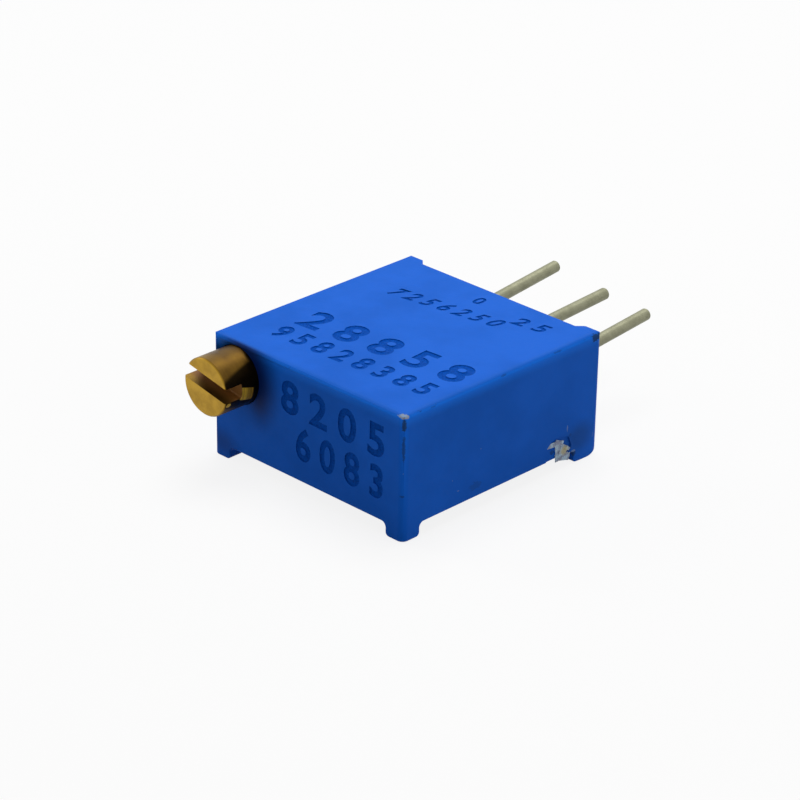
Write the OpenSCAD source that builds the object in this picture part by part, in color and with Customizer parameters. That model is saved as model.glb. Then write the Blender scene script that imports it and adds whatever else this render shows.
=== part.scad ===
// Multi-turn trimmer potentiometer: square style, top adjustment, three pins in line.
// It lies on the four feet of its back. X runs across the pins, Y from the screw to the
// pins and Z up, out of the large face. The origin is under the middle of the whole part,
// at the level that the feet stand on. Sizes along Y are measured from the screw face.

/* [Housing] */
// Width of the housing, across the pins
body_w = 9.53; // [9.4:0.01:10.5]
// Length of the housing from the screw face to the pin face, without its standoffs
body_l = 9.65; // [9.55:0.01:10.5]
// Thickness of the housing without its feet
body_h = 4.3; // [4.2:0.01:4.6]
// Roof over the mechanism
roof_t = 0.45; // [0.4:0.01:0.5]
// Wall in front of the wheel chamber
front_wall = 0.8; // [0.7:0.01:0.9]
// Wall behind the substrate, which the pins pass through
rear_wall = 0.72; // [0.6:0.01:0.8]
// Side walls around the seal
side_wall = 0.6; // [0.5:0.01:0.8]
// Rounding of the upright corners
corner_r = 0.26; // [0.1:0.01:0.4]
// Rounding of the edges of the large face
edge_r = 0.16; // [0.08:0.01:0.25]
// Rounding of the back edge under the pins
heel_r = 0.55; // [0.3:0.01:0.6]

/* [Feet and standoffs] */
// Height of the four feet
foot_h = 0.5; // [0.3:0.01:0.7]
// Width of a foot
foot_w = 0.84; // [0.75:0.01:1.2]
// Length of the two feet under the pins, along the sides
rear_foot_l = 1.3; // [0.8:0.01:1.5]
// Rounding of the inner edges that a foot stands on
toe_r = 0.16; // [0.05:0.01:0.2]
// Hollow rounding between a foot and the back
root_r = 0.2; // [0.05:0.01:0.25]
// How far the board standoffs are proud of the pin face
standoff_h = 0.38; // [0.2:0.01:0.5]
// Width of a board standoff
standoff_w = 0.6; // [0.45:0.01:1]

/* [Adjustment screw] */
// Diameter of the screw head
screw_d = 2.19; // [2.05:0.01:2.22]
// How far the head stands out of the housing
screw_proud = 1.52; // [1:0.01:2]
// Wall between the screw head and the outside of the housing
screw_wall = 0.175; // [0.15:0.005:0.25]
// Length of the head inside the housing
head_depth = 2; // [1.95:0.01:2.1]
// Width of the driver slot
slot_w = 0.56; // [0.4:0.01:0.7]
// Depth of the driver slot
slot_depth = 0.76; // [0.5:0.01:0.9]
// Turn of the slot away from the large face, in degrees
slot_angle = 11; // [0:1:45]
// How far the slot lies off the middle of the head, towards the large face
slot_offset = 0.18; // [0:0.01:0.25]
// Chamfer at the end of the head
head_chamfer = 0.05; // [0.03:0.01:0.2]
// Diameter of the plain shaft under the thread
shaft_d = 1; // [0.9:0.01:1.04]
// Length of the plain journal at the far end
journal_l = 0.9; // [0.7:0.01:0.95]

/* [Seal ring and clip] */
// Cord diameter of the seal ring
ring_cord = 0.38; // [0.3:0.01:0.4]
// Diameter of the bottom of the seal ring's groove
ring_groove_d = 1.42; // [1.3:0.01:1.44]
// Screw face to the near side of the seal ring's groove
ring_place = 0.66; // [0.5:0.01:0.75]
// Thickness of the retaining clip
clip_t = 0.3; // [0.2:0.01:0.32]
// Width of the retaining clip
clip_w = 1.8; // [1.7:0.01:1.84]
// Diameter of the screw's neck that the clip holds
neck_d = 1.24; // [1.1:0.01:1.3]

/* [Worm gear] */
// Number of teeth on the worm wheel
wheel_teeth = 30; // [30:1:30]
// Pitch radius of the worm
worm_pitch_r = 0.75; // [0.74:0.005:0.76]
// Length of the threaded part of the screw
worm_l = 4.6; // [4:0.01:4.8]
// Play between the teeth, at the pitch line
backlash = 0.15; // [0.13:0.01:0.18]
// Flank angle of the teeth, in degrees
flank_angle = 20; // [14.5:0.5:20]
// Width of the toothed rim
rim_w = 0.63; // [0.55:0.01:0.65]
// Radial thickness of the rim under the teeth
rim_t = 0.33; // [0.3:0.01:0.34]
// Number of detents inside the rim, for the slip clutch
detents = 30; // [15:15:30]

/* [Rotor and wiper] */
// Diameter of the post that the rotor turns on
post_d = 1.4; // [1.2:0.01:1.5]
// Outer diameter of the rotor's hub
hub_d = 2.14; // [2:0.01:2.18]
// Thickness of the rotor's disc
disc_t = 0.36; // [0.3:0.01:0.38]
// Gap between the toothed rim and the track
track_inset = 0.12; // [0.1:0.01:0.15]
// Where the wiper stands at rest, in degrees from the X axis
wiper_angle = 267; // [250:1:290]
// Half of the angle that the stop rib takes, in degrees
rib_half = 12; // [8:1:12]
// Half of the angle that the rotor's stop lug takes, in degrees
lug_half = 16; // [10:1:16]
// Height of the stop rib under the roof
stop_h = 0.25; // [0.22:0.01:0.28]
// Thickness of the wiper's sheet
wiper_t = 0.07; // [0.05:0.01:0.08]

/* [Substrate] */
// Thickness of the ceramic
ceramic_t = 0.4; // [0.35:0.01:0.42]
// Thickness of the printed films
film_t = 0.02; // [0.015:0.005:0.03]
// Width of the resistive track
track_w = 0.6; // [0.5:0.01:0.62]
// Width of the collector
collector_w = 0.35; // [0.3:0.01:0.45]
// Bare ceramic between the rotor's post and the collector
collector_inset = 0.15; // [0.1:0.01:0.2]
// Width of the leads on the ceramic
lead_w = 0.34; // [0.25:0.01:0.4]
// How far the seal lies inside the back of the housing
seal_recess = 0.17; // [0.1:0.01:0.25]

/* [Pins] */
// Distance between neighbouring pins
pin_pitch = 2.54; // [2.5:0.01:2.56]
// Diameter of the pins
pin_d = 0.46; // [0.4:0.01:0.5]
// Length of pin 1 past the standoffs
pin_1_reach = 5.73; // [4.5:0.01:8]
// Length of pin 2 past the standoffs
pin_2_reach = 5.7; // [4.5:0.01:8]
// Length of pin 3 past the standoffs
pin_3_reach = 5.12; // [4.5:0.01:8]
// How far pin 1 is bent up, in degrees
pin_1_lift = 6; // [1:0.5:7]
// How far pin 2 is bent up, in degrees
pin_2_lift = 3; // [1:0.5:7]
// How far pin 3 is bent up, in degrees
pin_3_lift = 5; // [1:0.5:7]

/* [Fits] */
// Radial running gap around the screw head, its journal and the rotor's post
running_gap = 0.03; // [0.02:0.005:0.04]
// Gap around the pieces that are set into the housing
set_gap = 0.03; // [0.02:0.005:0.04]
// Gap between what turns and what stands still in the wheel chamber
chamber_gap = 0.05; // [0.04:0.005:0.06]

/* [Hidden] */
$fn = 48;
// Cuts run this far past the faces that they leave open
past = 1;

// The outside
top_z = foot_h + body_h;
seat_y = body_l + standoff_h;
longest_reach = max(pin_1_reach, pin_2_reach, pin_3_reach);
front_y = (screw_proud - seat_y - longest_reach) / 2;

// The wire of the pins, and the solder around it
pin_r = pin_d / 2;
wire_gap = 0.02;
pin_inset = 0.45;
pin_stub = 0.15;
solder_r = pin_r + 0.13;
solder_top_r = pin_r - 0.09;
solder_h = 0.26;
solder_room = 0.08;
solder_wall = 0.1;
pad_r = pin_r + 0.19;

// The worm gear. The wheel is as large as the housing allows, along and across.
addendum_share = 0.9;
dedendum_share = 1.14;
screw_edge = screw_d / 2 + screw_wall;
screw_x = screw_edge - body_w / 2;
screw_z = top_z - screw_edge;
room_l = body_l - front_wall - rear_wall - set_gap - pin_inset - solder_r - solder_wall;
room_w = body_w - side_wall - screw_edge - worm_pitch_r;
wheel_pitch_r = min((room_l / 2 - 2 * chamber_gap) / (1 + 2 * addendum_share / wheel_teeth),
    (room_w - 2 * chamber_gap) / (2 + 2 * addendum_share / wheel_teeth));
gear_module = 2 * wheel_pitch_r / wheel_teeth;
tooth_pitch = PI * gear_module;
addendum = gear_module * addendum_share;
dedendum = gear_module * dedendum_share;
wheel_r = wheel_pitch_r + addendum;
wheel_root_r = wheel_pitch_r - dedendum;
rim_inner_r = wheel_root_r - rim_t;
worm_r = worm_pitch_r + addendum;
lead_angle = atan(tooth_pitch / (2 * PI * worm_pitch_r));
tooth_w = (tooth_pitch - backlash) / 2;
tooth_root = 0.08;
chamber_r = wheel_r + 2 * chamber_gap;
wheel_x = screw_x + worm_pitch_r + wheel_pitch_r;
wheel_y = front_wall + chamber_r;
channel_r = worm_r + chamber_gap;
thread_relief = 0.25;
worm_start = head_depth + thread_relief;
worm_end = worm_start + worm_l;
shaft_end = worm_end + journal_l;

// The levels in the wheel chamber, from the roof down
rim_lift = 0.07;
gasket_t = 0.1;
ceiling_z = top_z - roof_t;
stop_z = ceiling_z - stop_h;
rim_top = stop_z - chamber_gap;
rim_bottom = rim_top - rim_w;
film_top = rim_bottom - rim_lift;
ceramic_top = film_top - film_t;
ceramic_bottom = ceramic_top - ceramic_t;
ledge_z = film_top + gasket_t;
disc_top = rim_top + chamber_gap;
disc_bottom = disc_top - disc_t;

// The track and the collector
track_r = rim_inner_r - track_inset - track_w / 2;
collector_inner_r = post_d / 2 + collector_inset;
collector_outer_r = collector_inner_r + collector_w;
collector_r = (collector_inner_r + collector_outer_r) / 2;

// The outline of the ceramic, with its corner that carries pin 1
channel_wall = 0.2;
right_step = 0.08;
pad_margin = 0.04;
ceramic_left = screw_x + channel_r + channel_wall;
ceramic_right = body_w / 2 - side_wall - right_step;
ceramic_front = wheel_y - wheel_r;
ceramic_rear = body_l - rear_wall - set_gap;
tail_left = -pin_pitch - pad_r - pad_margin;
tail_front = ceramic_rear - 2 * pin_inset;

// The way of the pins
pin_z = ceramic_bottom - pin_r - wire_gap;
pin_leg_y = ceramic_rear - pin_inset;
elbow_r = 0.28;
bend_y = body_l + 0.1;
bend_swell = 0.004;
tip_chamfer = 0.06;
pin_top = ceramic_top + pin_stub;

// The wiper's sheet, its fingers and the stakes that it is fixed on
sheet_front = -0.8;
sheet_rear = -0.3;
finger_w = 0.14;
finger_pitch = 0.19;
finger_back = -0.7;
finger_touch = 0.3;
finger_end = 0.42;
finger_curl = 0.1;
touch_gap = 0.01;
stake_r = 0.09;
stake_gap = 0.01;
stake_h = 0.2;
stake_proud = 0.12;
stakes_y = (sheet_front + sheet_rear) / 2;
stakes_x = [for (s = [-1, 1]) (collector_r + track_r) / 2 + s * 0.2];

// The clutch arms and their round noses
nose_r = 0.08;
nose_gap = 0.02;
arm_gap = 0.06;
arm_t = 0.14;
arm_slot = 0.1;
arm_span = 46;
arm_root = 38;
lug_bite = 0.01;

// The grooves of the screw
ring_side_gap = 0.06;
ring_squeeze = 0.005;
groove_land = 0.34;
ring_groove_w = ring_cord + 2 * ring_side_gap;
clip_gap = 0.025;
clip_fit = 0.02;
clip_y = ring_place + ring_groove_w + groove_land;
clip_below = 1.55;
clip_above = 0.5;

// The seal and the hollow that it fills
mouth_h = 0.8;
seal_z = foot_h + seal_recess;
mouth_top = foot_h + mouth_h;
plug_gap = 0.01;

// Room at the ends of the screw's channels
end_gap = 0.05;

// The electrical angles: the gap between the ends of the track faces the pins
gap_middle = 90;
track_end = 34;
pad_end = 22;

// Sets a piece that is measured from the screw face at its place in the part
module from_front() {
    translate([0, front_y, 0]) children();
}

// Sets a piece at the axis that the rotor turns about
module at_wheel() {
    translate([wheel_x, wheel_y, 0]) children();
}

// A round bar along Y
module bar_y(r, y1, y2) {
    translate([0, y1, 0]) rotate([-90, 0, 0]) cylinder(r = r, h = y2 - y1);
}

// An upright slab between two heights
module slab(z1, z2) {
    translate([0, 0, z1]) linear_extrude(z2 - z1) children();
}

// What is taken off a square corner at the origin to round it, for a corner that lies in
// the first quarter of its own circle
module corner_waste(r) {
    difference() {
        square(r + past);
        circle(r);
    }
}

// The outline seen from above: rounded corners, and the recess between the standoffs
module plan_outline() {
    side = body_w / 2;
    inner = side - standoff_w;
    difference() {
        translate([-side, 0]) square([body_w, seat_y]);
        for (s = [-1, 1]) {
            translate([s * (side - corner_r), corner_r]) mirror([s < 0 ? 1 : 0, 0])
                mirror([0, 1]) corner_waste(corner_r);
            translate([s * (side - corner_r), seat_y - corner_r]) mirror([s < 0 ? 1 : 0, 0])
                corner_waste(corner_r);
        }
        polygon([[-inner, seat_y + past], [-inner, seat_y], [standoff_h - inner, body_l],
            [inner - standoff_h, body_l], [inner, seat_y], [inner, seat_y + past]]);
    }
}

// What is open between two feet, with rounded upper corners
module arch_outline(near, far) {
    difference() {
        translate([near, -past]) square([far - near, foot_h + past]);
        translate([near + root_r, foot_h - root_r]) mirror([1, 0]) corner_waste(root_r);
        translate([far - root_r, foot_h - root_r]) corner_waste(root_r);
    }
}

// Outline of a wall that stands on two feet, with rounded upper edges
module footed_outline(width, far_foot) {
    difference() {
        square([width, top_z]);
        arch_outline(foot_w, width - far_foot);
        translate([foot_w - toe_r, toe_r]) mirror([0, 1]) corner_waste(toe_r);
        translate([width - far_foot + toe_r, toe_r]) mirror([1, 0]) mirror([0, 1]) corner_waste(toe_r);
        for (s = [0, 1]) translate([s * width, 0]) mirror([s, 0])
            translate([edge_r, top_z - edge_r]) mirror([1, 0]) corner_waste(edge_r);
    }
}

module side_outline() {
    difference() {
        footed_outline(seat_y, rear_foot_l);
        translate([seat_y - heel_r, heel_r]) mirror([0, 1]) corner_waste(heel_r);
    }
}

module housing_block() {
    intersection() {
        slab(0, top_z) plan_outline();
        translate([-body_w / 2, seat_y, 0]) rotate([90, 0, 0])
            linear_extrude(seat_y) footed_outline(body_w, foot_w);
        translate([-body_w / 2, 0, 0]) rotate([90, 0, 90])
            linear_extrude(body_w) side_outline();
    }
}

// Outline of the ceramic, grown by a gap on every side
module ceramic_outline(grow) {
    polygon([
        [ceramic_left - grow, ceramic_front - grow], [ceramic_right + grow, ceramic_front - grow],
        [ceramic_right + grow, ceramic_rear + grow], [tail_left - grow, ceramic_rear + grow],
        [tail_left - grow, tail_front - grow], [ceramic_left - grow, tail_front - grow]]);
}

// The wide mouth of the hollow in the back of the housing
module mouth_outline() {
    half = body_w / 2 - side_wall;
    translate([-half, side_wall]) square([2 * half, ceramic_rear + set_gap - side_wall]);
}

// The three pin positions
function pin_x(n) = (n - 2) * pin_pitch;

// A sector of a ring about the rotor's axis
module ring_sector(r1, r2, a1, a2) {
    far = 2 * r2;
    middle = (a1 + a2) / 2;
    intersection() {
        difference() {
            circle(r2);
            circle(r1);
        }
        polygon([[0, 0], far * [cos(a1), sin(a1)], far * [cos((a1 + middle) / 2), sin((a1 + middle) / 2)],
            far * [cos(middle), sin(middle)],
            far * [cos((middle + a2) / 2), sin((middle + a2) / 2)], far * [cos(a2), sin(a2)]]);
    }
}

// The moulded case, with its post, its stop rib and the channels of the mechanism
module housing() {
    color("#2465d4") from_front() {
        difference() {
            housing_block();
            translate([screw_x, 0, screw_z]) {
                bar_y(screw_d / 2 + running_gap, -past, head_depth + end_gap);
                bar_y(channel_r, head_depth, worm_end + end_gap);
                bar_y(shaft_d / 2 + running_gap, worm_end, shaft_end + end_gap);
            }
            clip_slot();
            difference() {
                at_wheel() slab(film_top, ceiling_z) circle(chamber_r);
                at_wheel() slab(ceramic_top, ceiling_z + past) circle(post_d / 2);
                at_wheel() slab(stop_z, ceiling_z + past)
                    ring_sector(rim_inner_r, chamber_r + past, gap_middle - rib_half,
                        gap_middle + rib_half);
            }
            slab(foot_h, ledge_z) ceramic_outline(set_gap);
            slab(-past, mouth_top) mouth_outline();
            for (n = [1:3]) {
                translate([pin_x(n), pin_leg_y, film_top])
                    cylinder(r = solder_r + solder_room, h = solder_h + solder_room);
                translate([pin_x(n), 0, pin_z]) bar_y(pin_r + wire_gap, ceramic_rear, body_l + past);
            }
        }
    }
}

// The slot that the clip is pushed into from the back
module clip_slot() {
    half = clip_w / 2 + clip_fit;
    translate([screw_x - half, clip_y - clip_gap, foot_h])
        cube([2 * half, clip_t + 2 * clip_gap, screw_z - foot_h]);
}

// The resin that closes the back, poured around the pins
module back_seal() {
    color("#1d4f9c") from_front() {
        difference() {
            union() {
                slab(seal_z, mouth_top) mouth_outline();
                slab(seal_z, ceramic_bottom) ceramic_outline(set_gap);
                clip_plug();
            }
            for (n = [1:3]) pin_wire(n, 0);
        }
    }
}

// The resin in the clip's slot
module clip_plug() {
    half = clip_w / 2 + clip_fit;
    translate([screw_x - half, clip_y - clip_gap, seal_z])
        cube([2 * half, clip_t + 2 * clip_gap, screw_z - clip_below - plug_gap - seal_z]);
}

module ceramic_substrate() {
    color("#e9e4d6") from_front() {
        difference() {
            slab(ceramic_bottom, ceramic_top) ceramic_outline(0);
            for (n = [1:3]) translate([pin_x(n), pin_leg_y, 0])
                slab(ceramic_bottom - past, ceramic_top + past) circle(pin_r + set_gap);
        }
    }
}

// Soft bead that keeps the resin out of the wheel chamber
module substrate_gasket() {
    color("#9aa4ae") from_front() {
        difference() {
            slab(film_top, ledge_z) ceramic_outline(0);
            at_wheel() slab(film_top - past, ledge_z + past) circle(chamber_r);
            for (n = [1:3]) translate([pin_x(n), pin_leg_y, 0])
                slab(film_top - past, ledge_z + past) circle(solder_r + solder_room);
        }
    }
}

module film() {
    slab(ceramic_top, film_top) children();
}

module track_sector(a1, a2) {
    translate([wheel_x, wheel_y]) ring_sector_wide(track_r - track_w / 2, track_r + track_w / 2, a1, a2);
}

// A sector that may be wider than half a turn: the ring less the sector that is left out
module ring_sector_wide(r1, r2, a1, a2) {
    difference() {
        circle(r2);
        circle(r1);
        sector_wedge(2 * r2, a2, a1 + 360);
    }
}

module sector_wedge(far, a1, a2) {
    step = (a2 - a1) / 4;
    polygon(concat([[0, 0]], [for (k = [0:4]) far * [cos(a1 + k * step), sin(a1 + k * step)]]));
}

module resistive_track() {
    color("#2a2a2c") from_front() film()
        track_sector(gap_middle + track_end, gap_middle - track_end + 360);
}

// A printed lead between two points
module lead(from, to) {
    along = (to - from) / norm(to - from);
    across = [-along[1], along[0]] * lead_w / 2;
    polygon([from + across, from - across, to - across, to + across]);
}

// Ring, lead and pad that join the wiper to pin 2. The lead leaves between the track's ends.
module collector_track() {
    turn = [wheel_x, wheel_y + chamber_r - lead_w];
    pad = [pin_x(2), pin_leg_y];
    color("#c9c9c4") from_front() film() {
        difference() {
            union() {
                translate([wheel_x, wheel_y]) circle(collector_outer_r);
                lead([wheel_x, wheel_y], turn);
                translate(turn) circle(lead_w / 2);
                lead(turn, pad);
                translate(pad) circle(pad_r);
            }
            translate([wheel_x, wheel_y]) circle(collector_inner_r);
            translate(pad) circle(pin_r + set_gap);
        }
    }
}

// Pad at one end of the track, its lead and the pad around the pin. The lead to pin 1 turns
// the corner of the ceramic.
module end_conductor(n) {
    s = n < 2 ? 1 : -1;
    a = gap_middle + s * (track_end + pad_end) / 2;
    start = [wheel_x + track_r * cos(a), wheel_y + track_r * sin(a)];
    pad = [pin_x(n), pin_leg_y];
    turn = s > 0 ? [ceramic_left + lead_w / 2 + pad_margin, pin_leg_y] : pad;
    beside = 60;
    color("#c9c9c4") from_front() film() {
        difference() {
            union() {
                translate([wheel_x, wheel_y])
                    ring_sector(track_r - track_w / 2, track_r + track_w / 2,
                        gap_middle + (s > 0 ? pad_end : -track_end),
                        gap_middle + (s > 0 ? track_end : -pad_end));
                lead(start, turn);
                if (turn != pad) lead(turn, pad);
                translate(turn) circle(lead_w / 2);
                translate(pad) circle(pad_r);
            }
            translate(pad) circle(pin_r + set_gap);
            translate([wheel_x, wheel_y]) intersection() {
                circle(track_r + track_w / 2 + film_t);
                sector_wedge(2 * wheel_r, gap_middle + (s > 0 ? track_end : -track_end - beside),
                    gap_middle + (s > 0 ? track_end + beside : -track_end));
            }
        }
    }
}

module end_conductor_1() { end_conductor(1); }
module end_conductor_3() { end_conductor(3); }

function pin_reach(n) = n == 1 ? pin_1_reach : n == 2 ? pin_2_reach : pin_3_reach;
function pin_lift(n) = n == 1 ? pin_1_lift : n == 2 ? pin_2_lift : pin_3_lift;

// A pin: up through the ceramic, round the elbow, out through the wall and up at its lift.
// The wire is a hair thicker where it was bent.
module pin_wire(n, gap) {
    lift = pin_lift(n);
    r = pin_r + gap;
    run = (seat_y + pin_reach(n) - bend_y) / cos(lift) - tip_chamfer;
    translate([pin_x(n), 0, 0]) {
        translate([0, pin_leg_y, 0]) slab(pin_z + elbow_r, pin_top) circle(r);
        translate([0, pin_leg_y + elbow_r, pin_z + elbow_r]) rotate([0, -90, 0]) rotate([0, 0, 180])
            rotate_extrude(angle = 90) translate([elbow_r, 0]) circle(r);
        translate([0, 0, pin_z]) bar_y(r, pin_leg_y + elbow_r, bend_y);
        translate([0, bend_y, pin_z]) {
            sphere(r + bend_swell);
            rotate([lift, 0, 0]) {
                bar_y(r, 0, run);
                translate([0, run, 0]) rotate([-90, 0, 0])
                    cylinder(r1 = r, r2 = r - tip_chamfer, h = tip_chamfer);
            }
        }
    }
}

module pin_1() { color("#98987d") from_front() pin_wire(1, 0); }
module pin_2() { color("#98987d") from_front() pin_wire(2, 0); }
module pin_3() { color("#98987d") from_front() pin_wire(3, 0); }

// The solder that joins a pin to its pad
module solder(n) {
    color("#b9bcbe") from_front() translate([pin_x(n), pin_leg_y, film_top]) {
        difference() {
            cylinder(r1 = solder_r, r2 = solder_top_r, h = solder_h);
            translate([0, 0, -past]) cylinder(r = pin_r, h = past + pin_top - film_top);
        }
    }
}

module solder_1() { solder(1); }
module solder_2() { solder(2); }
module solder_3() { solder(3); }

// The thread as one helical ridge. Each ring of points lies in a plane through the axis,
// and the ridge rises out of the shaft over its first and last half turn.
module worm_thread() {
    per_turn = 24;
    shaft_bite = 0.06;
    fade = 0.02;
    first = floor(per_turn * ((worm_start - wheel_y) / tooth_pitch + 0.5)) + 1;
    last = ceil(per_turn * ((worm_end - wheel_y) / tooth_pitch - 0.5)) - 1;
    buried_r = shaft_d / 2 - shaft_bite;
    slope = tan(flank_angle);
    function rise(i) = min(1, 2 * (i - first) / per_turn, 2 * (last - i) / per_turn);
    function ring(i) =
        let (
            angle = 360 * i / per_turn,
            middle = wheel_y + tooth_pitch * i / per_turn,
            outer_r = buried_r + fade + (worm_r - buried_r - fade) * max(0, rise(i)),
            half_in = tooth_w / 2 + (worm_pitch_r - buried_r) * slope,
            half_out = tooth_w / 2 + (worm_pitch_r - outer_r) * slope
        )
        [for (p = [[buried_r, -half_in], [outer_r, -half_out], [outer_r, half_out], [buried_r, half_in]])
            [p[0] * cos(angle), middle + p[1], -p[0] * sin(angle)]];
    rings = last - first;
    function side(i, k) = let (a = 4 * i + k, b = 4 * i + (k + 1) % 4) [[a, b, b + 4], [a, b + 4, a + 4]];
    polyhedron(
        points = [for (i = [first:last]) each ring(i)],
        faces = concat(
            [[3, 2, 1, 0]],
            [for (i = [0:rings - 1]) for (k = [0:3]) each side(i, k)],
            [[4 * rings, 4 * rings + 1, 4 * rings + 2, 4 * rings + 3]]));
}

// Half of the turned shape: radius across, distance from the screw face up
module turned_outline() {
    head_r = screw_d / 2;
    ring_end = ring_place + ring_groove_w;
    neck_start = clip_y - clip_gap;
    neck_end = clip_y + clip_t + clip_gap;
    polygon([
        [0, -screw_proud], [head_r - head_chamfer, -screw_proud], [head_r, head_chamfer - screw_proud],
        [head_r, ring_place], [ring_groove_d / 2, ring_place], [ring_groove_d / 2, ring_end],
        [head_r, ring_end], [head_r, neck_start], [neck_d / 2, neck_start], [neck_d / 2, neck_end],
        [head_r, neck_end], [head_r, head_depth], [shaft_d / 2, head_depth],
        [shaft_d / 2, shaft_end], [0, shaft_end]]);
}

// Slotted head, seal groove, neck, worm and journal, turned from one bar
module adjustment_screw() {
    color("#a8842d") from_front() translate([screw_x, 0, screw_z]) {
        difference() {
            rotate([-90, 0, 0]) rotate_extrude() turned_outline();
            rotate([0, slot_angle, 0])
                translate([-screw_d, -screw_proud - past, slot_offset - slot_w / 2])
                    cube([2 * screw_d, slot_depth + past, slot_w]);
        }
        worm_thread();
    }
}

module o_ring() {
    middle_r = (ring_groove_d + ring_cord) / 2 + ring_squeeze;
    color("#1c1c1e") from_front()
        translate([screw_x, ring_place + ring_groove_w / 2, screw_z]) rotate([-90, 0, 0])
            rotate_extrude() translate([middle_r, 0]) circle(ring_cord / 2);
}

// Stamped fork that sits in the screw's neck and keeps the screw in the housing
module retaining_clip() {
    inner_r = neck_d / 2 + clip_fit;
    color("#b7bbc0") from_front()
        translate([screw_x, clip_y + clip_t, screw_z]) rotate([90, 0, 0]) linear_extrude(clip_t) {
            difference() {
                translate([-clip_w / 2, -clip_below]) square([clip_w, clip_below + clip_above]);
                circle(inner_r);
                translate([-inner_r, 0]) square([2 * inner_r, clip_above + past]);
            }
        }
}

// One tooth of the wheel on the X axis, leaning by the worm's lead angle
module wheel_tooth() {
    slope = tan(flank_angle);
    inner_r = wheel_root_r - tooth_root;
    half_in = tooth_w / 2 + (wheel_pitch_r - inner_r) * slope;
    half_out = tooth_w / 2 - addendum * slope;
    tall = 2 * rim_w + 2 * abs(rim_top - screw_z);
    translate([0, 0, screw_z]) rotate([-lead_angle, 0, 0]) translate([0, 0, -tall / 2])
        linear_extrude(tall)
            polygon([[inner_r, -half_in], [wheel_r + chamber_gap, -half_out],
                [wheel_r + chamber_gap, half_out], [inner_r, half_in]]);
}

// The toothed ring, with the detents of the slip clutch inside it
module worm_wheel() {
    color("#efe9da") from_front() at_wheel() {
        difference() {
            intersection() {
                union() {
                    slab(rim_bottom, rim_top) circle(wheel_root_r);
                    for (k = [0:wheel_teeth - 1]) rotate([0, 0, (k + 0.5) * 360 / wheel_teeth])
                        wheel_tooth();
                }
                slab(rim_bottom, rim_top) circle(wheel_r);
            }
            slab(rim_bottom - past, rim_top + past) circle(rim_inner_r);
            for (k = [0:detents - 1]) rotate([0, 0, wiper_angle + k * 360 / detents])
                translate([rim_inner_r, 0, 0]) slab(rim_bottom - past, rim_top + past)
                    circle(nose_r + nose_gap);
        }
    }
}

// Disc with a hub, three sprung clutch arms, a stop lug and two stakes for the wiper
module wiper_carrier() {
    arm_r = rim_inner_r - arm_gap;
    disc_r = arm_r - arm_t - arm_slot;
    color("#3b3d42") from_front() at_wheel() rotate([0, 0, wiper_angle]) {
        difference() {
            union() {
                slab(disc_bottom, disc_top) circle(disc_r);
                slab(disc_bottom, ceiling_z - chamber_gap) circle(hub_d / 2);
                slab(disc_top - lug_bite, ceiling_z - chamber_gap)
                    ring_sector(post_d / 2, wheel_root_r, -lug_half, lug_half);
                for (a = [60, 180, 300]) rotate([0, 0, a]) clutch_arm(arm_r, disc_r);
                for (x = stakes_x) translate([x, stakes_y, disc_bottom - stake_proud])
                    cylinder(r = stake_r, h = stake_h);
            }
            slab(film_top, ceiling_z) circle(post_d / 2 + running_gap);
        }
    }
}

// A curved arm that ends in a round nose, which sits in a detent
module clutch_arm(arm_r, disc_r) {
    slab(disc_bottom, rim_top) {
        ring_sector(arm_r - arm_t, arm_r, 0, arm_span);
        ring_sector(disc_r - arm_t, arm_r, arm_root, arm_span);
        translate([rim_inner_r, 0]) circle(nose_r);
    }
}

// Outline of a wiper finger seen along the rotor's radius: a flat root, a slope down to
// the film and a turned-up end
module finger_outline(touch_z) {
    root = disc_bottom - wiper_t;
    curl = finger_curl + wiper_t / 2;
    polygon([[finger_back, root], [sheet_rear - wiper_t, root], [finger_touch, touch_z],
        [finger_end, touch_z], [finger_end + curl, touch_z + finger_curl],
        [finger_end + finger_curl - wiper_t / 2, touch_z + curl],
        [finger_end - wiper_t / 2, touch_z + wiper_t], [finger_touch + wiper_t / 2, touch_z + wiper_t],
        [sheet_rear, disc_bottom], [finger_back, disc_bottom]]);
}

// Sprung sheet with three fingers on the track and two on the collector
module wiper_spring() {
    touch_z = film_top + touch_gap;
    inner = collector_r - (finger_pitch + finger_w) / 2;
    outer = track_r + finger_pitch + finger_w / 2;
    color("#c8a24a") from_front() at_wheel() rotate([0, 0, wiper_angle]) {
        difference() {
            union() {
                slab(disc_bottom - wiper_t, disc_bottom) intersection() {
                    translate([inner, sheet_front]) square([outer - inner, sheet_rear - sheet_front]);
                    circle(rim_inner_r - chamber_gap);
                }
                for (k = [-1:1]) radial_finger(track_r + k * finger_pitch, touch_z);
                for (k = [-0.5, 0.5]) radial_finger(collector_r + k * finger_pitch, touch_z);
            }
            for (x = stakes_x) translate([x, stakes_y, disc_bottom - past])
                cylinder(r = stake_r + stake_gap, h = 2 * past);
        }
    }
}

module radial_finger(r, touch_z) {
    translate([r - finger_w / 2, 0, 0]) rotate([90, 0, 90]) linear_extrude(finger_w)
        finger_outline(touch_z);
}

housing();
back_seal();
ceramic_substrate();
substrate_gasket();
resistive_track();
collector_track();
end_conductor_1();
end_conductor_3();
pin_1();
pin_2();
pin_3();
solder_1();
solder_2();
solder_3();
adjustment_screw();
o_ring();
retaining_clip();
worm_wheel();
wiper_carrier();
wiper_spring();
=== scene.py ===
"""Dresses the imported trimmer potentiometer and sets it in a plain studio.

The new pieces are modelled in millimetres and brought to metres when they are done.
"""

import functools
import logging
import math
from collections.abc import Callable, Sequence
from dataclasses import dataclass
from enum import Enum

import bmesh
import bpy
from mathutils import Matrix, Vector


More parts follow.
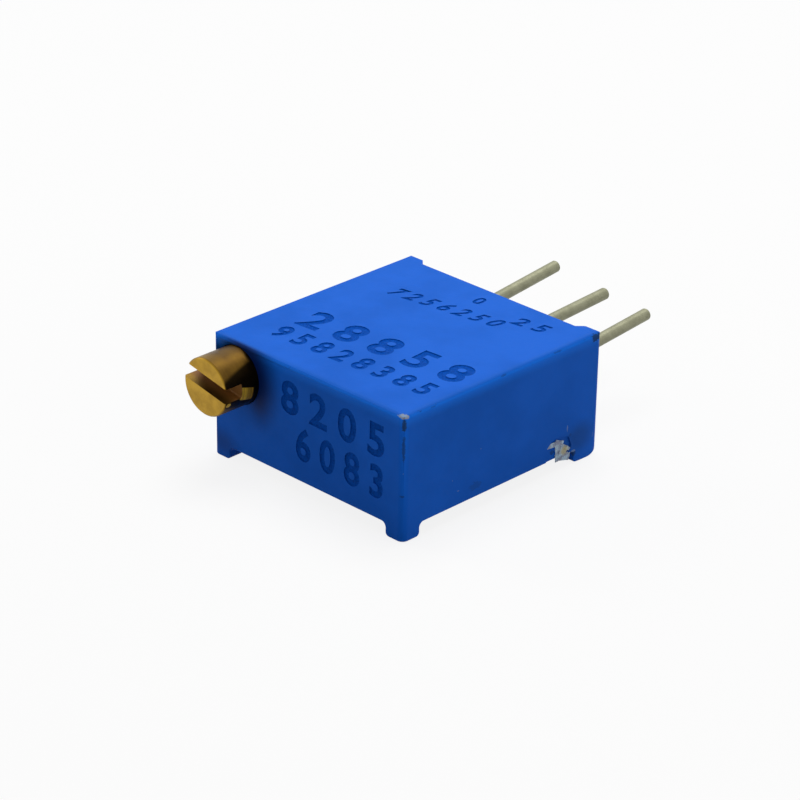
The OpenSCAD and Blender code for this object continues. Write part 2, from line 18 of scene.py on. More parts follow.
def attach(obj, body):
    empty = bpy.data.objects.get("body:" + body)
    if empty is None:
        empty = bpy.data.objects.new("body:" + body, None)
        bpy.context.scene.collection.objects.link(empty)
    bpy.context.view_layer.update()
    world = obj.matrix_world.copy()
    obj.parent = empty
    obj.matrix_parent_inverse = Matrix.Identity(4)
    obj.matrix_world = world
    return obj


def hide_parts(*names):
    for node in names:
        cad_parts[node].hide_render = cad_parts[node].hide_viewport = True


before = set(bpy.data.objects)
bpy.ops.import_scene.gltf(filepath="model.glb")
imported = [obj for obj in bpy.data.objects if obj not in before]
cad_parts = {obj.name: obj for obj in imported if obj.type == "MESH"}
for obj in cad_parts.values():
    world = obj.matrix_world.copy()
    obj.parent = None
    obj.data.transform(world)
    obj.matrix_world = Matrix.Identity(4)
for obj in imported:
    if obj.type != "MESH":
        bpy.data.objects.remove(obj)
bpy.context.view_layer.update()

LOG = logging.getLogger("trimmer")
MM = 0.001

# Sizes that more than one class works with, in millimetres
HALF_WIDTH = 4.765
FRONT = -7.12
SEAT = 2.91
TOP = 4.8
SCREW_X = -3.495
SCREW_Z = 3.53
SCREW_PROUD = 1.52
SLOT_DEPTH = 0.76

# Edges that meet at more than this are sharp
SHARP = math.radians(50)

Colour = tuple[float, float, float]
Point = tuple[float, float, float]
Pair = tuple[float, float]
Material = bpy.types.Material


class Body(Enum):
    """The bodies of the part that a modelled piece can ride on."""

    CASE = "case"
    SCREW = "screw"


def srgb(red: int, green: int, blue: int) -> Colour:
    """Turns a colour as it is seen on a screen into the linear one.

    Args:
        red: Red from 0 to 255.
        green: Green from 0 to 255.
        blue: Blue from 0 to 255.

    Returns:
        The linear colour.
    """

    def linear(value: int) -> float:
        """One channel."""
        v = value / 255
        return v / 12.92 if v <= 0.04045 else ((v + 0.055) / 1.055) ** 2.4

    return linear(red), linear(green), linear(blue)


# Materials


class Signal:
    """A number or a vector that a shader works with, so that maths reads as maths."""

    def __init__(self, shader: "Shader", socket: bpy.types.NodeSocket) -> None:
        """Keeps the socket and the shader that it belongs to."""
        self.shader = shader
        self.socket = socket

    def _math(self, operation: str, *values: "Signal | float") -> "Signal":
        """Adds one Math node."""
        inputs = {i: v for i, v in enumerate(values)}
        return self.shader.node("ShaderNodeMath", {"operation": operation}, inputs)

    def __add__(self, other: "Signal | float") -> "Signal":
        """Sum."""
        return self._math("ADD", self, other)

    __radd__ = __add__

    def __sub__(self, other: "Signal | float") -> "Signal":
        """Difference."""
        return self._math("SUBTRACT", self, other)

    def __rsub__(self, other: float) -> "Signal":
        """Difference, with the number first."""
        return self._math("SUBTRACT", other, self)

    def __mul__(self, other: "Signal | float") -> "Signal":
        """Product."""
        return self._math("MULTIPLY", self, other)

    __rmul__ = __mul__

    def __pow__(self, other: float) -> "Signal":
        """Power."""
        return self._math("POWER", self, other)

    def clamp(self) -> "Signal":
        """The value kept between 0 and 1."""
        return self._math("MAXIMUM", self._math("MINIMUM", self, 1.0), 0.0)

    def larger(self, other: "Signal | float") -> "Signal":
        """The larger of the two."""
        return self._math("MAXIMUM", self, other)

    def absolute(self) -> "Signal":
        """The value without its sign."""
        return self._math("ABSOLUTE", self)

    def ramp(self, low: float, high: float) -> "Signal":
        """A smooth step from 0 at low to 1 at high, or down where high is the lower.

        Args:
            low: The value at which the result is 0.
            high: The value at which the result is 1.

        Returns:
            The step.
        """
        (first, start), (last, stop) = sorted(((low, 0.0), (high, 1.0)))
        return self.shader.node(
            "ShaderNodeMapRange",
            {"interpolation_type": "SMOOTHSTEP"},
            {"Value": self, "From Min": first, "From Max": last, "To Min": start, "To Max": stop},
        )


class Shader:
    """The node tree of a material or of the world, with a short way to add nodes to it."""

    def __init__(self, name: str, world: bool = False) -> None:
        """Makes an empty tree.

        Args:
            name: The name of the material or the world.
            world: Whether it is a world.
        """
        self.owner = (bpy.data.worlds if world else bpy.data.materials).new(name)
        self.owner.use_nodes = True
        self.tree = self.owner.node_tree
        self.tree.nodes.clear()
        self._place: Signal | None = None

    def node(
        self,
        kind: str,
        settings: dict[str, object] | None = None,
        inputs: dict[object, object] | None = None,
        output: int | str = 0,
    ) -> Signal:
        """Adds a node.

        Args:
            kind: The node's type.
            settings: Its own settings, which are set first.
            inputs: Values or signals for its sockets, by name or number.
            output: Which of its outputs is wanted.

        Returns:
            That output.
        """
        made = self.tree.nodes.new(kind)
        for key, value in (settings or {}).items():
            setattr(made, key, value)
        for key, value in (inputs or {}).items():
            socket = made.inputs[key]
            if isinstance(value, Signal):
                self.tree.links.new(value.socket, socket)
            elif socket.type == "RGBA" and len(value) == 3:
                socket.default_value = (*value, 1.0)
            else:
                socket.default_value = value
        return Signal(self, made.outputs[output])

    @property
    def place(self) -> Signal:
        """The point on the piece, in millimetres."""
        if self._place is None:
            point = self.node("ShaderNodeTexCoord", output="Object")
            self._place = self.node(
                "ShaderNodeVectorMath", {"operation": "SCALE"}, {0: point, "Scale": 1 / MM}
            )
        return self._place

    def axis(self, index: int) -> Signal:
        """One coordinate of the point: 0 for X, 1 for Y and 2 for Z."""
        return self.node("ShaderNodeSeparateXYZ", inputs={0: self.place}, output=index)

    def facing(self, index: int) -> Signal:
        """One coordinate of the surface's own normal."""
        normal = self.node("ShaderNodeNewGeometry", output="Normal")
        return self.node("ShaderNodeSeparateXYZ", inputs={0: normal}, output=index)

    def around_screw(self) -> tuple[Signal, Signal, Signal]:
        """The point's distance from the screw's axis.

        Returns:
            The distance along X, the one along Z, and the whole one.
        """
        dx = self.axis(0) - SCREW_X
        dz = self.axis(2) - SCREW_Z
        return dx, dz, (dx * dx + dz * dz) ** 0.5

    def moved(
        self, centre: Point = (0, 0, 0), scale: Point = (1, 1, 1), turn: Point = (0, 0, 0)
    ) -> Signal:
        """The point measured from a centre, then turned and scaled.

        Args:
            centre: The point that becomes the origin, in millimetres.
            scale: The scale along each axis.
            turn: The turn about each axis, in degrees.

        Returns:
            The new coordinates.
        """
        near = self.node(
            "ShaderNodeVectorMath", {"operation": "SUBTRACT"}, {0: self.place, 1: centre}
        )
        angles = tuple(math.radians(a) for a in turn)
        return self.node(
            "ShaderNodeMapping", inputs={"Vector": near, "Rotation": angles, "Scale": scale}
        )

    def noise(
        self, per_mm: float, detail: float = 3, rough: float = 0.5, at: Signal | None = None,
        warp: float = 0.0,
    ) -> Signal:
        """Cloudy noise between 0 and 1.

        Args:
            per_mm: How many waves it has in a millimetre.
            detail: How many finer layers it has.
            rough: How strong the finer layers are.
            at: Where it is read, if not at the point itself.
            warp: How far the pattern is warped.

        Returns:
            The noise.
        """
        return self.node(
            "ShaderNodeTexNoise",
            inputs={
                "Vector": at or self.place, "Scale": per_mm, "Detail": detail,
                "Roughness": rough, "Distortion": warp,
            },
        )

    def bands(self, at: Signal, detail: float = 3, scale: float = 1) -> Signal:
        """Noise that changes along one value alone."""
        inputs = {"W": at, "Scale": scale, "Detail": detail}
        return self.node("ShaderNodeTexNoise", {"noise_dimensions": "1D"}, inputs)

    def spot(
        self, centre: Point, radii: Point, turn: Point = (0, 0, 0), soft: float = 0.5
    ) -> Signal:
        """A soft spot: 1 in its middle and 0 outside it.

        Args:
            centre: The middle of the spot, in millimetres.
            radii: Its half sizes along X, Y and Z.
            turn: Its turn, in degrees.
            soft: How much of its radius is soft.

        Returns:
            The mask.
        """
        near = self.moved(centre, tuple(1 / r for r in radii), turn)
        far = self.node("ShaderNodeVectorMath", {"operation": "LENGTH"}, {0: near}, "Value")
        return far.ramp(1.0, 1.0 - soft)

    def mix(self, factor: Signal | float, first: object, second: object) -> Signal:
        """Mixes two colours or signals, with the factor as the share of the second."""
        inputs = {0: factor, 6: first, 7: second}
        return self.node("ShaderNodeMix", {"data_type": "RGBA"}, inputs, 2)

    def bump(self, height: Signal, distance: float, strength: float = 1.0) -> Signal:
        """Turns a height into a normal, where 1 stands for a distance in millimetres."""
        inputs = {"Height": height, "Distance": distance * MM, "Strength": strength}
        return self.node("ShaderNodeBump", inputs=inputs)

    def surface(self, **inputs: object) -> Material:
        """Ends the tree in a Principled BSDF.

        Args:
            **inputs: Its sockets, with underscores in place of spaces.

        Returns:
            The material.
        """
        sockets = {key.replace("_", " "): value for key, value in inputs.items()}
        self.end(self.node("ShaderNodeBsdfPrincipled", inputs=sockets))
        return self.owner

    def end(self, shader: Signal, kind: str = "ShaderNodeOutputMaterial") -> None:
        """Joins a shader to the tree's output."""
        self.tree.links.new(shader.socket, self.tree.nodes.new(kind).inputs["Surface"])


@dataclass(frozen=True)
class Scuff:
    """A ragged spot of wear: its middle and half sizes, how much stays, and its strength."""

    at: Point
    radii: Point
    keep: float
    strength: float
    turn: float = 0.0

    def mask(self, shader: Shader, ragged: Signal) -> Signal:
        """Where the spot is.

        Args:
            shader: The tree that the mask goes into.
            ragged: What tears its edge.

        Returns:
            The mask.
        """
        soft = 0.1
        mask = shader.spot(self.at, self.radii, (self.turn, 0, 0), 0.9)
        torn = (mask + ragged).ramp(self.keep - soft, self.keep + soft)
        return torn * mask.ramp(0.0, 0.15) * self.strength


@dataclass(frozen=True)
class MouldedBlue:
    """Satin blue plastic of the case, with the wear that it has at its edges, painted highlight
    and shade at its top edges, and a painted shadow beside the screw.
    """

    name: str = "moulded_blue"
    colour: Colour = srgb(11, 102, 219)
    cloud: Colour = srgb(10, 95, 205)
    bare: Colour = srgb(172, 166, 146)
    bleached: Colour = srgb(150, 172, 196)
    dirt: Colour = srgb(30, 52, 74)
    shade_navy: Colour = srgb(3, 20, 74)
    edge_highlight_blue: Colour = srgb(24, 126, 255)
    edge_shade_blue: Colour = srgb(14, 86, 178)
    roughness: float = 0.5
    pale_spots: tuple[Scuff, ...] = (
        Scuff((4.62, -7.02, 4.76), (0.36, 0.26, 0.1), 0.45, 0.85),
        Scuff((HALF_WIDTH, 1.6, 0.5), (0.2, 0.16, 0.07), 0.3, 0.5),
        Scuff((HALF_WIDTH, 1.22, 1.52), (0.2, 0.05, 0.17), 0.35, 0.4),
        Scuff((HALF_WIDTH, 2.6, 0.82), (0.2, 0.05, 0.2), 0.5, 0.15),
        Scuff((4.72, -7.08, 2.62), (0.09, 0.09, 0.05), 0.4, 0.5),
        Scuff((HALF_WIDTH, -4.4, 1.05), (0.2, 0.1, 0.03), 0.4, 0.3, 20),
        Scuff((HALF_WIDTH, -4.7, 1.55), (0.2, 0.05, 0.04), 0.4, 0.3),
        Scuff((HALF_WIDTH, -3.3, 2.3), (0.2, 0.04, 0.04), 0.4, 0.3),
        Scuff((0.44, FRONT, 3.1), (0.1, 0.2, 0.04), 0.4, 0.3),
    )
    dark_spots: tuple[Scuff, ...] = (
        Scuff((4.7, -7.06, 4.4), (0.13, 0.16, 0.34), 0.4, 1.0),
        Scuff((4.69, -7.06, 3.5), (0.09, 0.12, 0.75), 0.42, 0.7),
        Scuff((4.68, -7.08, 1.75), (0.14, 0.1, 0.06), 0.4, 0.6),
        Scuff((4.72, 2.6, 4.66), (0.24, 0.4, 0.2), 0.35, 1.0),
        Scuff((4.7, 2.84, 3.9), (0.12, 0.1, 0.8), 0.42, 0.7),
        Scuff((HALF_WIDTH, 1.4, 1.2), (0.2, 0.09, 0.08), 0.35, 0.6),
        Scuff((HALF_WIDTH, 1.85, 0.7), (0.2, 0.06, 0.1), 0.35, 0.5),
        Scuff((HALF_WIDTH, 1.62, 0.38), (0.2, 0.16, 0.16), 0.3, 0.9),
        Scuff((HALF_WIDTH, 0.5, 0.78), (0.2, 0.18, 0.16), 0.3, 0.7),
        Scuff((HALF_WIDTH, -3.55, 0.95), (0.2, 0.45, 0.3), 0.5, 0.3),
        Scuff((HALF_WIDTH, -2.2, 4.74), (0.2, 0.25, 0.05), 0.5, 0.5),
        Scuff((HALF_WIDTH, -5.7, 4.72), (0.2, 0.3, 0.05), 0.5, 0.4),
        Scuff((HALF_WIDTH, 0.6, 4.74), (0.2, 0.35, 0.05), 0.5, 0.5),
    )

    def wear(self, shader: Shader) -> tuple[Signal, Signal]:
        """Where the plastic is scuffed pale, and where it is dirty.

        Args:
            shader: The tree that the masks go into.

        Returns:
            The pale mask and the dark mask.
        """
        coarse = shader.noise(5, 4, 0.6)
        fine = shader.noise(24, 3, 0.6)
        ragged = (coarse - 0.5) * 1.9 + (fine - 0.5) * 1.5
        pale, dark = (
            functools.reduce(Signal.larger, [scuff.mask(shader, ragged) for scuff in spots])
            for spots in (self.pale_spots, self.dark_spots)
        )
        edge_z = (shader.axis(2) - 4.77).absolute().ramp(0.1, 0.02)
        edge_x = (shader.axis(0).absolute() - 4.73).absolute().ramp(0.12, 0.02)
        edge_y = (shader.axis(1) + 7.09).absolute().ramp(0.12, 0.02)
        specks = shader.noise(3.1, 4, 0.7).ramp(0.64, 0.69)
        rim = edge_z * edge_x.larger(edge_y) * specks * 0.7
        grime = shader.spot((HALF_WIDTH, 1.85, 0.95), (0.3, 1.05, 0.85), (20, 0, 0), 0.8) * 0.5
        return pale, dark.larger(rim).larger(grime)

    def screw_shadow_and_foot(self, shader: Shader) -> Signal:
        """Where the front is darkened: a painted shadow beside the screw, and darker at the left
        foot.

        Args:
            shader: The tree that the mask goes into.

        Returns:
            The mask.
        """
        dx, dz, radius = shader.around_screw()
        # Painted shadow to the right of the screw and above it
        ring = radius.ramp(2.45, 1.2) * (dx * 0.85 + dz * 0.5).ramp(-0.4, 0.7)
        foot = shader.spot((-4.4, -7.12, 0.6), (1.3, 0.4, 0.8), soft=0.95) * 0.5
        return ring.larger(foot) * shader.axis(1).ramp(-6.95, -7.1)

    def paint_edge_light(self, shader: Shader, colour: Signal) -> Signal:
        """Blends the top face into the sides with painted light: a painted highlight on the sides
        just under the top edges, and painted shade on the top along its right and front edges.

        Args:
            shader: The tree that the masks go into.
            colour: The colour of the plastic away from its edges.

        Returns:
            The colour with its edges.
        """
        top = shader.facing(2).ramp(0.3, 1.0)
        under = shader.axis(2).ramp(4.3, 4.72) * (1 - top)
        over = shader.axis(0).ramp(4.4, 4.76).larger(shader.axis(1).ramp(-6.76, -7.12)) * top
        # Painted highlight under the top edges, and painted shade on the top along the right and
        # front edges
        colour = shader.mix(under * 0.8, colour, self.edge_highlight_blue)
        return shader.mix(over * 0.38, colour, self.edge_shade_blue)

    def material(self) -> Material:
        """Builds the material.

        Returns:
            The material.
        """
        shader = Shader(self.name)
        pale, dark = self.wear(shader)
        clouds = shader.noise(0.35, 4, 0.55).ramp(0.35, 0.7)
        colour = shader.mix(clouds, self.colour, self.cloud)
        colour = self.paint_edge_light(shader, colour)
        screw_shadow_and_foot = self.screw_shadow_and_foot(shader)
        # Painted shadow beside the screw, and darker at the left foot
        colour = shader.mix(screw_shadow_and_foot * 0.92, colour, self.shade_navy)
        colour = shader.mix(dark * 0.8, colour, self.dirt)
        tint = shader.mix(shader.noise(6, 3).ramp(0.34, 0.54), self.bare, self.bleached)
        colour = shader.mix(pale, colour, tint)
        skin = shader.noise(7, 3, 0.5)
        grain = shader.noise(38, 2, 0.6)
        rough = self.roughness + (clouds - 0.5) * 0.06 + pale * 0.3 + dark * 0.15
        height = skin * 0.6 + grain * 0.4 - pale * 1.6
        return shader.surface(
            Base_Color=colour, Roughness=rough.clamp(), Normal=shader.bump(height, 0.012, 0.5),
            Specular_IOR_Level=0.08,
        )


@dataclass(frozen=True)
class LaserMark:
    """The bottom of a mark burnt into the case: darker, and a little rougher."""

    name: str = "laser_mark"
    colour: Colour = srgb(2, 84, 192)
    deep: Colour = srgb(2, 64, 154)

    def material(self) -> Material:
        """Builds the material.

        Returns:
            The material.
        """
        shader = Shader(self.name)
        burn = shader.noise(16, 4, 0.7)
        colour = shader.mix(burn.ramp(0.35, 0.7), self.colour, self.deep)
        return shader.surface(
            Base_Color=colour, Roughness=0.58 + (burn - 0.5) * 0.2,
            Normal=shader.bump(burn, 0.02, 0.7), Specular_IOR_Level=0.03,
        )


@dataclass(frozen=True)
class TornPlastic:
    """Plastic of the burr: whitened where it was bent, olive and grey where it is dirty."""

    name: str = "torn_plastic"
    white: Colour = srgb(206, 232, 250)
    grey: Colour = srgb(158, 164, 188)
    olive: Colour = srgb(206, 198, 156)
    blue: Colour = srgb(60, 96, 150)

    def material(self) -> Material:
        """Builds the material.

        Returns:
            The material.
        """
        shader = Shader(self.name)
        cloud = shader.noise(5, 3, 0.6)
        grain = shader.noise(22, 3, 0.6)
        colour = shader.mix(cloud.ramp(0.35, 0.65), self.grey, self.white)
        middle = shader.spot((4.76, 1.12, 0.68), (0.5, 0.26, 0.24), soft=0.6)
        colour = shader.mix(middle * 0.85, colour, self.olive)
        colour = shader.mix(grain.ramp(0.56, 0.72) * 0.7, colour, self.blue)
        return shader.surface(
            Base_Color=colour, Roughness=0.6 + cloud * 0.2, Normal=shader.bump(grain, 0.03, 0.7),
            Specular_IOR_Level=0.15,
        )


@dataclass(frozen=True)
class TurnedBrass:
    """Brass of the screw: bright on its cut end, and browned on its barrel by tarnish and painted
    shade; with painted bounce light in the slot, a painted reflection of the dark case on the
    barrel and a painted highlight behind the slot.
    """

    name: str = "turned_brass"
    bright: Colour = srgb(184, 146, 52)
    tarnish_and_shade_brown: Colour = srgb(72, 50, 20)
    dark: Colour = srgb(84, 47, 12)
    bounce_brown: Colour = srgb(134, 86, 26)
    glint_gold: Colour = srgb(250, 200, 44)
    black: Colour = srgb(20, 14, 6)

    def material(self) -> Material:
        """Builds the material.

        Returns:
            The material.
        """
        shader = Shader(self.name)
        dx, _, radius = shader.around_screw()
        depth = shader.axis(1) - (FRONT - SCREW_PROUD)
        end = shader.facing(1).ramp(-0.55, -0.9)
        tarnish = shader.noise(1.6, 5, 0.6).ramp(0.3, 0.7)
        rings = shader.bands(shader.axis(1) * 34)
        circles = shader.bands(radius * 30)
        front = depth.ramp(0.7, 0.0) * dx.ramp(0.3, -0.3)
        # The barrel's brown is partly tarnish and partly painted shade; it is lighter towards the
        # end on the left
        barrel = shader.mix(tarnish * 0.1 + rings * 0.1 + front * 0.3, self.tarnish_and_shade_brown, self.bright)
        face = shader.mix(tarnish * 0.3, self.bright, self.tarnish_and_shade_brown)
        colour = shader.mix(end, barrel, face)
        outside = depth.ramp(1.9, 1.7)
        # Inside the slot: painted warm bounce light, as a less metallic brown
        inside = depth.ramp(0.08, SLOT_DEPTH * 0.8) * radius.ramp(1.093, 1.07) * outside
        colour = shader.mix(inside * 0.95, colour, self.bounce_brown)
        skew = shader.axis(2) + depth * 0.28
        barrel_only = radius.ramp(1.07, 1.09) * dx.ramp(0.7, 0.8) * outside
        # Painted highlight on the barrel behind the slot's end: a bright band and a spot, less
        # metallic so they stay bright
        worn = skew.ramp(3.34, 3.38) * skew.ramp(3.88, 3.84) * depth.ramp(0.66, 0.72) * barrel_only
        nick = shader.spot((-2.48, -8.47, 3.13), (0.2, 0.13, 0.1), soft=0.4) * barrel_only
        bare = (worn * depth.ramp(1.34, 1.26)).larger(nick)
        streak = shader.bands(depth * 9, 1, 5).ramp(0.42, 0.6)
        # Painted reflection of the dark case on the barrel's right side, and painted shade at its
        # base
        base = dx.ramp(0.3, 0.6) * depth.ramp(1.32, 1.5)
        shade = (dx + depth * 0.17).ramp(0.92, 1.02).larger(base)
        shade = shade * radius.ramp(1.05, 1.085) * (1 - bare) * outside
        colour = shader.mix(shade * 0.95, colour, self.black)
        glint_gold = shader.mix(streak * 0.6 + depth.ramp(0.95, 1.1) * 0.4, self.glint_gold, self.dark)
        colour = shader.mix(bare, colour, glint_gold)
        height = (rings * (1 - end) + circles * end) * 0.6 + shader.noise(22, 3, 0.6) * 0.4
        rough = 0.35 + tarnish * 0.14 + inside * 0.2
        return shader.surface(
            Base_Color=colour, Metallic=1.0 - (bare * 0.8).larger(inside * 0.9), Roughness=rough,
            Normal=shader.bump(height, 0.012, 0.6),
        )


@dataclass(frozen=True)
class TinnedWire:
    """Tinned wire with a dull olive cast and drawn lines along it."""

    name: str = "tinned_wire"
    colour: Colour = srgb(150, 150, 124)
    dull: Colour = srgb(128, 128, 104)

    def material(self) -> Material:
        """Builds the material.

        Returns:
            The material.
        """
        shader = Shader(self.name)
        stretched = shader.moved(scale=(9, 0.6, 9))
        lines = shader.noise(1, 4, 0.6, stretched)
        blotch = shader.noise(2.2, 5, 0.65).ramp(0.35, 0.68)
        colour = shader.mix(blotch * 0.5 + lines * 0.3, self.colour, self.dull)
        return shader.surface(
            Base_Color=colour, Metallic=0.6, Roughness=0.5 + blotch * 0.1,
            Normal=shader.bump(lines * 0.7 + shader.noise(18, 3) * 0.3, 0.01, 0.6),
        )


@dataclass(frozen=True)
class CastResin:
    """Blue resin that was poured into the back: glossy, with small bubbles."""

    name: str = "cast_resin"
    colour: Colour = srgb(26, 84, 186)
    deep: Colour = srgb(18, 66, 156)

    def material(self) -> Material:
        """Builds the material.

        Returns:
            The material.
        """
        shader = Shader(self.name)
        flow = shader.noise(0.5, 3, 0.5, warp=1.2)
        bubbles = shader.node(
            "ShaderNodeTexVoronoi", inputs={"Vector": shader.place, "Scale": 1.7}
        ).ramp(0.05, 0.12)
        colour = shader.mix(flow.ramp(0.3, 0.7), self.colour, self.deep)
        colour = shader.mix((1 - bubbles) * 0.4, colour, srgb(14, 40, 96))
        return shader.surface(
            Base_Color=colour, Roughness=0.2 + flow * 0.16,
            Normal=shader.bump(flow * 0.8 + bubbles * 0.2, 0.05, 0.6), Specular_IOR_Level=0.12,
        )


@dataclass(frozen=True)
class Plain:
    """A finish of an inner piece: two tones, a grain and its sheen."""

    name: str
    colour: Colour
    second: Colour
    roughness: float = 0.5
    metallic: float = 0.0
    grain: float = 12.0
    depth: float = 0.008
    stretch: Point = (1, 1, 1)
    specular: float = 0.4

    def material(self) -> Material:
        """Builds the material.

        Returns:
            The material.
        """
        shader = Shader(self.name)
        cloud = shader.noise(0.8, 4, 0.55).ramp(0.3, 0.7)
        grain = shader.noise(self.grain, 4, 0.6, shader.moved(scale=self.stretch))
        colour = shader.mix(cloud * 0.6 + grain * 0.3, self.colour, self.second)
        return shader.surface(
            Base_Color=colour, Metallic=self.metallic,
            Roughness=(self.roughness + (grain - 0.5) * 0.18).clamp(),
            Normal=shader.bump(grain, self.depth, 0.7), Specular_IOR_Level=self.specular,
        )


# Modelling


class Workpiece:
    """A mesh on the bench, in millimetres, shaped with Blender's own operators."""

    def __init__(self, obj: bpy.types.Object) -> None:
        """Takes an object onto the bench."""
        self.obj = obj

    @staticmethod
    def clear() -> None:
        """Leaves nothing selected."""
        if bpy.context.object and bpy.context.object.mode != "OBJECT":
            bpy.ops.object.mode_set(mode="OBJECT")
        bpy.ops.object.select_all(action="DESELECT")

    @classmethod
    def added(cls, name: str) -> "Workpiece":
        """Takes what an operator has just added.

        Args:
            name: The name that it gets.

        Returns:
            The workpiece.
        """
        obj = bpy.context.object
        obj.name = name
        obj.data.name = name
        return cls(obj)

    @classmethod
    def box(cls, name: str, low: Point, high: Point) -> "Workpiece":
        """A box between two corners.

        Args:
            name: Its name.
            low: The lowest corner.
            high: The highest corner.

        Returns:
            The workpiece.
        """
        cls.clear()
        bpy.ops.mesh.primitive_cube_add(
            size=1,
            location=[(a + b) / 2 for a, b in zip(low, high)],
            scale=[b - a for a, b in zip(low, high)],
        )
        made = cls.added(name)
        made.settle()
        return made

    @classmethod
    def disc(cls, name: str, radius: float, at: Point, turn: Point, sides: int) -> "Workpiece":
        """A filled circle to extrude from.

        Args:
            name: Its name.
            radius: Its radius.
            at: Its middle.
            turn: Its turn in degrees.
            sides: How many corners it has.

        Returns:
            The workpiece.
        """
        cls.clear()
        bpy.ops.mesh.primitive_circle_add(
            vertices=sides, radius=radius, fill_type="NGON", location=at,
            rotation=[math.radians(a) for a in turn],
        )
        made = cls.added(name)
        made.settle()
        return made

    @classmethod
    def copy_of(cls, node: str, name: str) -> "Workpiece":
        """A merged copy of a CAD node, in millimetres.

        Args:
            node: The node's name.
            name: The copy's name.

        Returns:
            The workpiece.
        """
        cls.clear()
        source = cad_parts[node]
        mesh = source.data.copy()
        mesh.transform(Matrix.Scale(1 / MM, 4))
        mesh.materials.clear()
        obj = bpy.data.objects.new(name, mesh)
        bpy.context.scene.collection.objects.link(obj)
        made = cls(obj)
        made.edit(whole=True)
        bpy.ops.mesh.remove_doubles(threshold=0.0005)
        made.done()
        return made

    def focus(self) -> None:
        """Makes this the one selected and active object."""
        self.clear()
        self.obj.select_set(True)
        bpy.context.view_layer.objects.active = self.obj

    def settle(self) -> None:
        """Applies the object's place, turn and scale to its mesh."""
        self.focus()
        bpy.ops.object.transform_apply(location=True, rotation=True, scale=True)

    def edit(self, whole: bool = False) -> None:
        """Opens the mesh for editing.

        Args:
            whole: Whether all of it is selected, and not nothing.
        """
        self.focus()
        bpy.ops.object.mode_set(mode="EDIT")
        bpy.ops.mesh.select_mode(type="FACE")
        bpy.ops.mesh.select_all(action="SELECT" if whole else "DESELECT")

    def done(self) -> None:
        """Closes the mesh again."""
        bpy.ops.object.mode_set(mode="OBJECT")

    def choose_edges(self, wanted: Callable[[bmesh.types.BMEdge], bool]) -> int:
        """Selects edges of the open mesh by a test.

        Args:
            wanted: The test.

        Returns:
            How many it selected.
        """
        bpy.ops.mesh.select_mode(type="EDGE")
        bpy.ops.mesh.select_all(action="DESELECT")
        mesh = bmesh.from_edit_mesh(self.obj.data)
        found = [e for e in mesh.edges if wanted(e)]
        for edge in found:
            edge.select_set(True)
        bmesh.update_edit_mesh(self.obj.data)
        return len(found)

    @staticmethod
    def pull(shift: Sequence[float]) -> None:
        """Extrudes what is selected."""
        bpy.ops.mesh.extrude_region_move(TRANSFORM_OT_translate={"value": shift})

    @staticmethod
    def stretch(scale: Point, middle: Sequence[float]) -> None:
        """Scales what is selected about a point."""
        bpy.ops.transform.resize(value=scale, center_override=middle)

    @staticmethod
    def turn(axis: str, angle: float, middle: Sequence[float]) -> None:
        """Turns what is selected about an axis, by degrees.

        Without a window the operator turns the other way, so the angle changes its sign.
        """
        bpy.ops.transform.rotate(
            value=-math.radians(angle), orient_axis=axis, center_override=middle
        )

    def modify(self, kind: str, **settings: object) -> None:
        """Adds a modifier and applies it.

        Args:
            kind: The modifier's type.
            **settings: Its settings.
        """
        self.focus()
        made = self.obj.modifiers.new(kind.lower(), kind)
        for key, value in settings.items():
            setattr(made, key, value)
        bpy.ops.object.modifier_apply(modifier=made.name)

    def cut(self, tool: "Workpiece") -> None:
        """Cuts with another workpiece, which is used up."""
        self.modify("BOOLEAN", operation="DIFFERENCE", object=tool.obj, solver="EXACT")
        bpy.data.objects.remove(tool.obj)

    def join(self, *others: "Workpiece") -> None:
        """Takes other workpieces into this one.

        Args:
            *others: The workpieces that it takes in.
        """
        self.focus()
        for other in others:
            other.obj.select_set(True)
        bpy.ops.object.join()

    def outward(self) -> None:
        """Merges doubles and turns every face outwards."""
        self.edit(whole=True)
        bpy.ops.mesh.remove_doubles(threshold=0.0004)
        bpy.ops.mesh.normals_make_consistent(inside=False)
        self.done()

    def smooth(self, angle: float = 32) -> None:
        """Shades faces smooth where they meet at a small angle, and keeps flat faces flat.

        Args:
            angle: The angle in degrees.
        """
        self.focus()
        bpy.ops.object.shade_smooth_by_angle(angle=math.radians(angle))
        self.modify("WEIGHTED_NORMAL", keep_sharp=True, weight=100)

    def paint(self, *materials: Material) -> None:
        """Gives the mesh its materials, in the order of its face numbers."""
        for material in materials:
            self.obj.data.materials.append(material)

    def finish(self, body: Body, slot: str, *nodes: str) -> bpy.types.Object:
        """Brings the piece to metres and sets it on its body.

        Args:
            body: The body that it rides on.
            slot: The name of a material slot in the record; not used.
            *nodes: The CAD nodes that it stands for.

        Returns:
            The finished object.
        """
        self.settle()
        self.obj.data.transform(Matrix.Scale(MM, 4))
        self.obj.data.update()
        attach(self.obj, body.value)
        if nodes:
            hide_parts(*nodes)
        LOG.info("%s: %d faces", self.obj.name, len(self.obj.data.polygons))
        return self.obj


@dataclass(frozen=True)
class Row:
    """One row of numbers: what it says, and where and how it is set on its face."""

    text: str
    size: float
    start: Pair
    end: Pair
    bold: float = 0.02
    slant: float = 0.0


